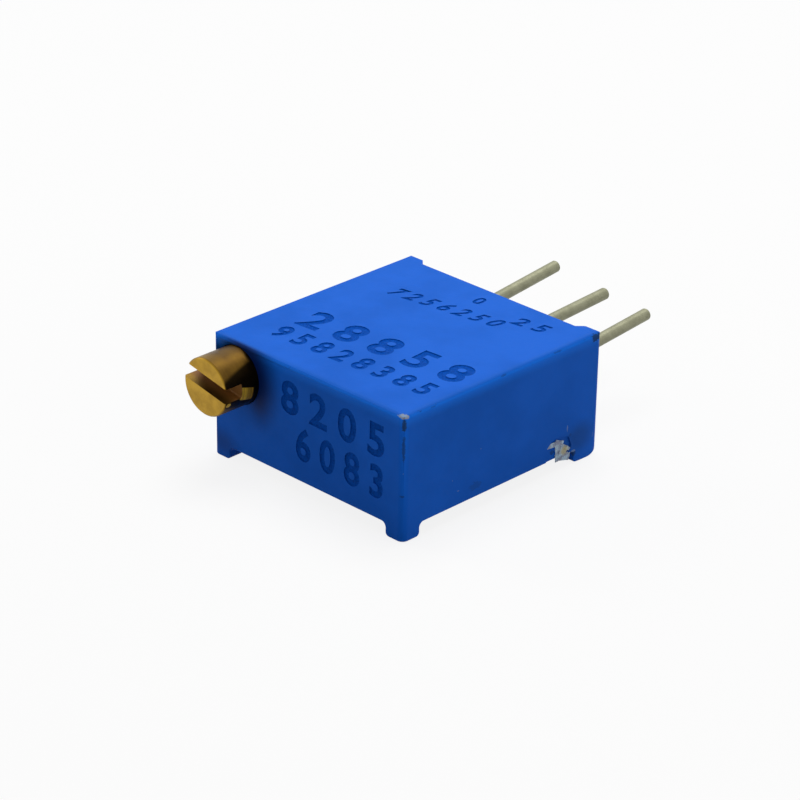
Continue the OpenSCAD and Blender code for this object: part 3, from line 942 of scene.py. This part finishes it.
@dataclass(frozen=True)
class Lettering:
    """Plain numbers that are burnt into a face of the case."""

    depth: float = 0.035
    bury: float = 0.2
    digit_width: float = 0.6

    def cutter(self, row: Row, face: Matrix) -> Workpiece:
        """Numbers as a solid that is sunk into a face.

        Args:
            row: The numbers, with the middles of the first and the last one.
            face: The face's own place, with Z out of the case.

        Returns:
            The workpiece.
        """
        Workpiece.clear()
        bpy.ops.object.text_add()
        obj = bpy.context.object
        obj.data.body = row.text
        obj.data.size = row.size
        obj.data.shear = row.slant
        obj.data.offset = row.bold
        obj.data.align_x = "CENTER"
        obj.data.align_y = "CENTER"
        obj.data.extrude = self.bury / 2
        obj.data.resolution_u = 4
        bpy.ops.object.convert(target="MESH")
        made = Workpiece.added("marks")
        xs = [v.co.x for v in made.obj.data.vertices]
        along = Vector(row.end) - Vector(row.start)
        wanted = along.length + self.digit_width * row.size
        across = wanted / (max(xs) - min(xs)) if len(row.text) > 1 else 1
        middle = (Vector(row.start) + Vector(row.end)) / 2
        turn = Matrix.Rotation(math.atan2(along.y, along.x), 4, "Z")
        sunk = Matrix.Translation((middle.x, middle.y, self.bury / 2 - self.depth))
        made.obj.data.transform(face @ sunk @ turn @ Matrix.Diagonal((across, 1, 1, 1)))
        made.outward()
        return made


@dataclass
class Case:
    """The moulded case, with its marks, its soft edges and its worn corners."""

    rear: float = 2.53
    underside: float = 0.5
    corner: float = 0.26
    edge: float = 0.07
    heel: float = 0.61
    margin: float = 0.3
    near: float = 0.004
    nick_depth: float = 0.07
    nick_middle: Pair = (0.76, 0.8)
    nick_half: Pair = (0.7, 0.52)
    nick_ragged: float = 0.06
    nick_sides: int = 18
    mark_left: float = -1.4
    mark_foot: float = 1.0
    top_rows: tuple[Row, ...] = (
        Row("2 8 8 5 8", 1.95, (-2.75, -3.9), (3.5, -3.45), 0.05),
        Row("9 5 8 2 8 3 8 5", 1.3, (-2.9, -5.4), (3.6, -5.08), 0.035),
        Row("7 2 5 6 2 5 0", 0.95, (-2.75, 0.0), (1.55, 0.6), 0.02, 0.4),
        Row("2 5", 0.9, (2.15, 1.32), (3.1, 1.45), 0.02, 0.2),
        Row("0", 0.8, (-0.05, 1.6), (-0.05, 1.6), 0.02),
    )
    front_rows: tuple[Row, ...] = (
        Row("8 2 0 5", 1.72, (-0.7, 3.5), (3.35, 3.42), 0.045),
        Row("6 0 8 3", 1.72, (0.05, 1.9), (3.3, 1.84), 0.045),
    )
    lettering: Lettering = Lettering()

    def marks(self) -> list[Workpiece]:
        """The rows of numbers on the large face and beside the screw.

        Returns:
            The tools that cut them.
        """
        top = Matrix.Translation((0, 0, TOP))
        front = Matrix.Translation((0, FRONT, 0)) @ Matrix.Rotation(math.radians(90), 4, "X")
        rows = [(row, top) for row in self.top_rows] + [(row, front) for row in self.front_rows]
        return [self.lettering.cutter(row, face) for row, face in rows]

    def nick(self) -> Workpiece:
        """The ragged shallow nick at the foot of the right-hand side.

        Returns:
            The tool that cuts it.
        """
        middle = (HALF_WIDTH - self.nick_depth, *self.nick_middle)
        made = Workpiece.disc("nick_tool", 1, middle, (0, 90, 0), self.nick_sides)
        made.edit(whole=True)
        made.stretch((1, *self.nick_half), middle)
        bpy.ops.transform.vertex_random(offset=self.nick_ragged, seed=4)
        made.stretch((0, 1, 1), middle)
        made.pull((0.4, 0, 0))
        made.done()
        made.outward()
        return made

    def soften(self, case: Workpiece) -> None:
        """Rounds the sharp outer edges of the feet, the standoffs and the rim.

        Args:
            case: The case on the bench.
        """

        def on_outline(point: Vector) -> bool:
            """Whether a point is low down on the outline, in front of the rounded heel.

            Args:
                point: The point.

            Returns:
                The answer.
            """
            x = max(abs(point.x) - HALF_WIDTH + self.corner, 0)
            y = max(FRONT + self.corner - point.y, 0)
            low = point.z < self.underside + 0.01 and point.y < SEAT - self.heel
            return low and abs(math.hypot(x, y) - self.corner) < self.near

        def outer(edge: bmesh.types.BMEdge) -> bool:
            """Whether an edge is a sharp one around the feet."""
            if len(edge.link_faces) != 2 or edge.calc_face_angle(0) < SHARP:
                return False
            return all(on_outline(v.co) for v in edge.verts)

        case.edit()
        LOG.info("case: %d edges softened", case.choose_edges(outer))
        bpy.ops.mesh.bevel(offset=self.edge, segments=3, profile=0.5, clamp_overlap=True)
        case.done()

    def is_mark(self, at: Vector) -> bool:
        """Whether a face belongs to a mark.

        Args:
            at: The middle of the face.

        Returns:
            The answer.
        """
        sunk = self.lettering.depth + self.near
        right = HALF_WIDTH - self.margin
        on_top = (
            -sunk < at.z - TOP < -self.near
            and abs(at.x) < right
            and FRONT + self.margin < at.y < self.rear - 0.1
        )
        on_front = (
            self.near < at.y - FRONT < sunk
            and self.mark_left < at.x < right
            and self.mark_foot < at.z < TOP - self.margin
        )
        return on_top or on_front

    def build(self, plastic: Material, mark: Material) -> bpy.types.Object:
        """Builds the case.

        Args:
            plastic: The finish of the case.
            mark: The finish of the marks.

        Returns:
            The finished object.
        """
        case = Workpiece.copy_of("housing", "case_shell")
        case.edit(whole=True)
        bpy.ops.mesh.dissolve_limited(angle_limit=math.radians(0.2))
        case.done()
        case.cut(self.nick())
        for tool in self.marks():
            case.cut(tool)
        self.soften(case)
        case.paint(plastic, mark)
        for face in case.obj.data.polygons:
            face.material_index = int(self.is_mark(face.center))
        case.smooth()
        return case.finish(Body.CASE, "case_plastic", "housing")


@dataclass(frozen=True)
class Flake:
    """One torn slab of the burr: its middle, its length and width, and how it lies."""

    middle: Point
    length: float
    width: float
    tilt: float
    lean: float = 0.0
    seed: int = 1


@dataclass
class Burr:
    """Plastic torn up out of the nick at the foot of the right-hand side."""

    thickness: float = 0.024
    ragged: float = 0.018
    flakes: tuple[Flake, ...] = (
        Flake((4.732, 0.48, 1.09), 0.6, 0.18, -5, 1, 3),
        Flake((4.736, 0.84, 1.06), 0.42, 0.2, -22, -1, 5),
        Flake((4.714, 0.8, 0.76), 0.26, 0.46, 8, 0, 7),
        Flake((4.722, 0.84, 0.5), 0.34, 0.3, 4, 1, 13),
        Flake((4.73, 1.06, 0.68), 0.4, 0.44, -30, 2, 8),
        Flake((4.724, 1.16, 0.42), 0.5, 0.3, -14, -2, 9),
        Flake((4.732, 1.32, 0.68), 0.44, 0.12, -24, 1, 11),
    )

    def slab(self, flake: Flake) -> Workpiece:
        """One slab, subdivided and roughened.

        Args:
            flake: Its measures.

        Returns:
            The workpiece.
        """
        half = (self.thickness / 2, flake.length / 2, flake.width / 2)
        made = Workpiece.box(
            "flake",
            tuple(m - h for m, h in zip(flake.middle, half)),
            tuple(m + h for m, h in zip(flake.middle, half)),
        )
        made.edit(whole=True)
        bpy.ops.mesh.subdivide(number_cuts=6)
        bpy.ops.transform.vertex_random(offset=self.ragged, normal=0, seed=flake.seed)
        made.turn("X", flake.tilt, flake.middle)
        made.turn("Z", flake.lean, flake.middle)
        made.done()
        return made

    def build(self, torn: Material) -> bpy.types.Object:
        """Builds the burr.

        Args:
            torn: Its finish.

        Returns:
            The finished object.
        """
        first, *others = (self.slab(flake) for flake in self.flakes)
        first.join(*others)
        first.obj.name = first.obj.data.name = "case_burr"
        first.paint(torn)
        first.smooth(24)
        return first.finish(Body.CASE, "case_plastic")


@dataclass
class Screw:
    """The brass screw: its turned and slotted head, with the worm behind it."""

    radius: float = 1.095
    chamfer: float = 0.05
    soft: float = 0.02
    worn: float = 0.016
    slot_width: float = 0.56
    slot_angle: float = 11
    slot_offset: float = 0.18
    slot_corner: float = 0.06
    groove_radius: float = 0.71
    groove: Pair = (0.66, 1.16)
    neck_radius: float = 0.62
    neck: Pair = (1.475, 1.825)
    head_end: float = 2.0
    shaft_radius: float = 0.5
    split: float = 2.06
    sides: int = 96

    def stations(self) -> list[Pair]:
        """The turned profile, as distances from the case's face with their radii.

        Returns:
            The stations, from the end of the head inwards.
        """
        soft, body = self.soft, self.radius
        small = soft * 0.35
        near, far = self.groove
        start, stop = self.neck
        return [
            (-SCREW_PROUD, body - self.chamfer - soft),
            (-SCREW_PROUD + small, body - self.chamfer),
            (-SCREW_PROUD + self.chamfer, body - small),
            (-SCREW_PROUD + self.chamfer + soft, body),
            (near, body), (near, self.groove_radius), (far, self.groove_radius), (far, body),
            (start, body), (start, self.neck_radius), (stop, self.neck_radius), (stop, body),
            (self.head_end - soft, body), (self.head_end, body - soft),
            (self.head_end, self.shaft_radius), (self.split, self.shaft_radius),
        ]

    def head(self) -> Workpiece:
        """Extrudes the head from a disc, station by station.

        Returns:
            The workpiece.
        """
        stations = self.stations()
        start, radius = stations[0]
        at = (SCREW_X, FRONT + start, SCREW_Z)
        made = Workpiece.disc("adjuster", radius, at, (90, 0, 0), self.sides)
        made.edit(whole=True)
        for (y1, r1), (y2, r2) in zip(stations, stations[1:]):
            made.pull((0, y2 - y1, 0))
            made.stretch((r2 / r1, 1, r2 / r1), (SCREW_X, FRONT + y2, SCREW_Z))
        made.done()
        made.outward()
        return made

    def driver_slot(self) -> Workpiece:
        """The tool that mills the slot, with its rounded floor.

        Returns:
            The workpiece.
        """
        half = self.slot_width / 2
        end = FRONT - SCREW_PROUD
        middle = SCREW_Z + self.slot_offset
        made = Workpiece.box(
            "slot_tool",
            (SCREW_X - 2 * self.radius, end - 1, middle - half),
            (SCREW_X + 2 * self.radius, end + SLOT_DEPTH, middle + half),
        )
        made.edit()
        made.choose_edges(
            lambda e: all(v.co.y > end for v in e.verts)
            and abs(e.verts[0].co.x - e.verts[1].co.x) > 1
        )
        bpy.ops.mesh.bevel(offset=self.slot_corner, segments=3)
        bpy.ops.mesh.select_all(action="SELECT")
        made.turn("Y", self.slot_angle, (SCREW_X, end, SCREW_Z))
        made.done()
        return made

    def worm(self) -> Workpiece:
        """The threaded shaft behind the head, taken from the CAD node.

        Returns:
            The workpiece.
        """
        made = Workpiece.copy_of("adjustment_screw", "worm")
        made.edit(whole=True)
        bpy.ops.mesh.bisect(
            plane_co=(0, FRONT + self.split, 0), plane_no=(0, 1, 0), use_fill=True,
            clear_inner=True,
        )
        made.done()
        return made

    def build(self, brass: Material) -> bpy.types.Object:
        """Builds the screw.

        Args:
            brass: Its finish.

        Returns:
            The finished object.
        """
        head = self.head()
        head.cut(self.driver_slot())
        head.modify("BEVEL", width=self.worn, segments=2, limit_method="ANGLE", angle_limit=SHARP)
        head.join(self.worm())
        head.paint(brass)
        head.smooth(40)
        return head.finish(Body.SCREW, "screw_brass", "adjustment_screw")


@dataclass
class Lead:
    """One bent lead, drawn from a disc round its elbow to its cut end."""

    number: int
    x: float
    lift: float
    reach: float
    radius: float = 0.23
    leg_y: float = 1.33
    leg_top: float = 3.48
    level: float = 2.68
    elbow: float = 0.28
    bend_y: float = 2.63
    bend_reach: float = 0.12
    burr: float = 0.02
    tip: float = 0.06
    tip_steps: tuple[Pair, ...] = ((0.6, 0.93), (0.4, 0.79))
    elbow_steps: int = 8
    bend_steps: int = 6
    sides: int = 32

    def build(self, wire: Material) -> bpy.types.Object:
        """Builds the lead.

        Args:
            wire: Its finish.

        Returns:
            The finished object.
        """
        thin = self.radius - self.burr
        at = (self.x, self.leg_y, self.leg_top)
        made = Workpiece.disc(f"lead_{self.number}", thin, at, (0, 0, 0), self.sides)
        made.edit(whole=True)
        low = self.level + self.elbow
        made.pull((0, 0, -self.burr))
        grow = self.radius / thin
        made.stretch((grow, grow, 1), (self.x, self.leg_y, self.leg_top - self.burr))
        made.pull((0, 0, low - self.leg_top + self.burr))
        start = self.leg_y + self.elbow
        self.bend(self.elbow_steps, math.radians(90), (self.x, start, low))
        bend_start = self.bend_y - self.bend_reach
        made.pull((0, bend_start - start, 0))
        angle = math.radians(self.lift)
        radius = self.bend_reach / math.tan(angle / 2)
        self.bend(self.bend_steps, angle, (self.x, bend_start, self.level + radius))
        along = Vector((0, math.cos(angle), math.sin(angle)))
        whole = (SEAT + self.reach - self.bend_y) / math.cos(angle) - self.tip
        made.pull(along * (whole - self.bend_reach))
        middle = Vector((self.x, self.bend_y, self.level)) + along * whole
        for step, shrink in self.tip_steps:
            shift = along * (self.tip * step)
            middle += shift
            made.pull(shift)
            made.stretch((shrink,) * 3, middle)
        made.done()
        made.outward()
        made.paint(wire)
        made.smooth(40)
        return made.finish(Body.CASE, "lead_wire", f"pin_{self.number}")

    @staticmethod
    def bend(steps: int, angle: float, centre: Point) -> None:
        """Spins the open end upwards about a centre, in radians."""
        bpy.ops.mesh.spin(
            steps=steps, angle=angle, center=centre, axis=(-1, 0, 0), use_auto_merge=False
        )


@dataclass
class InnerWorks:
    """The CAD nodes that keep their own meshes and get their finishes here."""

    dressed: tuple[tuple[Plain, tuple[str, ...]], ...] = (
        (Plain("fired_ceramic", srgb(232, 228, 216), srgb(218, 212, 198), 0.55, grain=20),
         ("ceramic_substrate",)),
        (Plain("grey_bead", srgb(150, 158, 166), srgb(132, 140, 150), 0.7, grain=9),
         ("substrate_gasket",)),
        (Plain("dark_film", srgb(40, 40, 43), srgb(58, 56, 56), 0.42, grain=30),
         ("resistive_track",)),
        (Plain("silver_film", srgb(200, 200, 194), srgb(170, 168, 158), 0.38, 0.8, 26),
         ("collector_track", "end_conductor_1", "end_conductor_3")),
        (Plain("soft_solder", srgb(196, 199, 202), srgb(158, 160, 162), 0.26, 1.0, 14),
         ("solder_1", "solder_2", "solder_3")),
        (Plain("black_rubber", srgb(26, 26, 28), srgb(38, 38, 40), 0.6, grain=16), ("o_ring",)),
        (Plain("sprung_steel", srgb(188, 192, 196), srgb(150, 154, 158), 0.3, 1.0, 10,
               stretch=(1, 1, 0.1)), ("retaining_clip",)),
        (Plain("natural_nylon", srgb(238, 232, 216), srgb(224, 216, 196), 0.48, grain=11),
         ("worm_wheel",)),
        (Plain("dark_carrier", srgb(58, 60, 66), srgb(46, 48, 54), 0.5, grain=13),
         ("wiper_carrier",)),
        (Plain("contact_alloy", srgb(206, 166, 84), srgb(170, 128, 56), 0.26, 1.0, 12,
               stretch=(0.1, 1, 1)), ("wiper_spring",)),
    )

    def build(self) -> None:
        """Dresses every inner node."""
        for finish, nodes in self.dressed:
            material = finish.material()
            for node in nodes:
                dress(node, material)


def dress(node: str, material: Material) -> None:
    """Gives a CAD node a finish.

    Args:
        node: The node's name.
        material: The finish.
    """
    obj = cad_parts[node]
    if not obj.material_slots:
        obj.data.materials.append(material)
    for slot in obj.material_slots:
        slot.material = material
    LOG.info("%s: dressed", node)


# Studio


@dataclass(frozen=True)
class Lamp:
    """A soft square lamp: its place and side in millimetres, and its power in watts."""

    name: str
    at: Point
    size: float
    power: float

    def hang(self, aim: Vector) -> None:
        """Hangs the lamp so that it looks at a point.

        Args:
            aim: The point in millimetres.
        """
        data = bpy.data.lights.new(self.name, "AREA")
        data.size = self.size * MM
        data.energy = self.power
        lamp = bpy.data.objects.new(self.name, data)
        place = Vector(self.at)
        turn = (place - aim).to_track_quat("Z", "Y").to_matrix().to_4x4()
        lamp.matrix_world = Matrix.Translation(place * MM) @ turn
        bpy.context.scene.collection.objects.link(lamp)


@dataclass
class Studio:
    """Floor, light and camera."""

    aim: Point = (0.0, -2.105, 0.5)
    azimuth: float = 44.2371
    elevation: float = 26.0165
    roll: float = 0.9501
    distance: float = 110.0273
    shift: Pair = (-0.2231, 1.4232)
    focal_px: float = 3052.69
    image: float = 800.0
    sensor: float = 36.0
    clip: Pair = (0.005, 10)
    floor_size: float = 6.0
    floor_drop: float = 0.02
    whiteness: float = 0.86
    daylight: float = 0.3
    lamps: tuple[Lamp, ...] = (
        Lamp("overhead", (-20, 40, 170), 110, 0.2),
        Lamp("side", (150, 30, 50), 80, 0.022),
        Lamp("left", (-140, -45, 90), 50, 0.03),
    )

    def camera(self) -> None:
        """Sets the camera as it stood for the photograph."""
        a, e, roll = (math.radians(v) for v in (self.azimuth, self.elevation, self.roll))
        back = Vector((math.sin(a) * math.cos(e), -math.cos(a) * math.cos(e), math.sin(e)))
        right = Vector((math.cos(a), math.sin(a), 0))
        up = back.cross(right)
        across = math.cos(roll) * right + math.sin(roll) * up
        above = -math.sin(roll) * right + math.cos(roll) * up
        place = Vector(self.aim) + back * self.distance
        place = place + across * self.shift[0] + above * self.shift[1]
        data = bpy.data.cameras.new("camera")
        data.sensor_width = self.sensor
        data.lens = self.focal_px / self.image * self.sensor
        data.clip_start, data.clip_end = self.clip
        cam = bpy.data.objects.new("camera", data)
        turn = Matrix((across, above, back)).transposed().to_4x4()
        cam.matrix_world = Matrix.Translation(place * MM) @ turn
        bpy.context.scene.collection.objects.link(cam)
        bpy.context.scene.camera = cam

    def seen(self, shader: Shader) -> Signal:
        """Finds the rays that show the background: camera, glossy and transmission rays.

        Args:
            shader: The tree that asks.

        Returns:
            1 for such a ray, and 0 for any other.
        """
        path = shader.tree.nodes.new("ShaderNodeLightPath")
        kinds = ("Is Camera Ray", "Is Glossy Ray", "Is Transmission Ray")
        first, second, third = (Signal(shader, path.outputs[k]) for k in kinds)
        return first.larger(second).larger(third)

    def floor(self) -> None:
        """Lays the pale floor, which shows white and keeps the shadow."""
        Workpiece.clear()
        place = (0, 0, -self.floor_drop * MM)
        bpy.ops.mesh.primitive_plane_add(size=self.floor_size, location=place)
        obj = bpy.context.object
        obj.name = "floor"
        shader = Shader("pale_floor")
        tone = shader.noise(0.02, 2).ramp(0.2, 0.8)
        pale = shader.mix(tone, (0.9, 0.9, 0.9), (0.88, 0.88, 0.88))
        shadow = shader.node("ShaderNodeBsdfDiffuse", inputs={"Color": pale})
        white = shader.node("ShaderNodeEmission", inputs={"Color": (1, 1, 1), "Strength": 1.0})
        shown = self.either(shader, self.whiteness, shadow, white)
        dull = shader.node("ShaderNodeBsdfDiffuse", inputs={"Color": (0.42, 0.42, 0.42)})
        above = self.either(shader, self.seen(shader), dull, shown)
        below = shader.node("ShaderNodeNewGeometry", output="Backfacing")
        clear = shader.node("ShaderNodeBsdfTransparent")
        shader.end(self.either(shader, below, above, clear))
        obj.data.materials.append(shader.owner)

    @staticmethod
    def either(
        shader: Shader, share: Signal | float, first: Signal, second: Signal
    ) -> Signal:
        """Mixes two shaders, with a share of the second."""
        return shader.node("ShaderNodeMixShader", inputs={0: share, 1: first, 2: second})

    def world(self) -> None:
        """Sets the soft light from all round, and the white that shows behind."""
        shader = Shader("studio", world=True)
        bpy.context.scene.world = shader.owner
        lit, shown = (
            shader.node("ShaderNodeBackground", inputs={"Color": (1, 1, 1), "Strength": power})
            for power in (self.daylight, 1.0)
        )
        whole = self.either(shader, self.seen(shader), lit, shown)
        shader.end(whole, "ShaderNodeOutputWorld")

    def build(self) -> None:
        """Builds the studio."""
        bpy.context.scene.view_settings.view_transform = "Standard"
        self.camera()
        self.floor()
        self.world()
        for lamp in self.lamps:
            lamp.hang(Vector(self.aim))


def main() -> None:
    """Builds the pieces in order."""
    logging.basicConfig(level=logging.INFO, format="%(name)s: %(message)s")
    Studio().build()
    Case().build(MouldedBlue().material(), LaserMark().material())
    Burr().build(TornPlastic().material())
    Screw().build(TurnedBrass().material())
    wire = TinnedWire().material()
    for number, x, lift, reach in ((1, -2.54, 6, 5.73), (2, 0.0, 3, 5.7), (3, 2.54, 5, 5.12)):
        Lead(number, x, lift, reach).build(wire)
    dress("back_seal", CastResin().material())
    InnerWorks().build()
    Workpiece.clear()


if __name__ == "__main__":
    main()
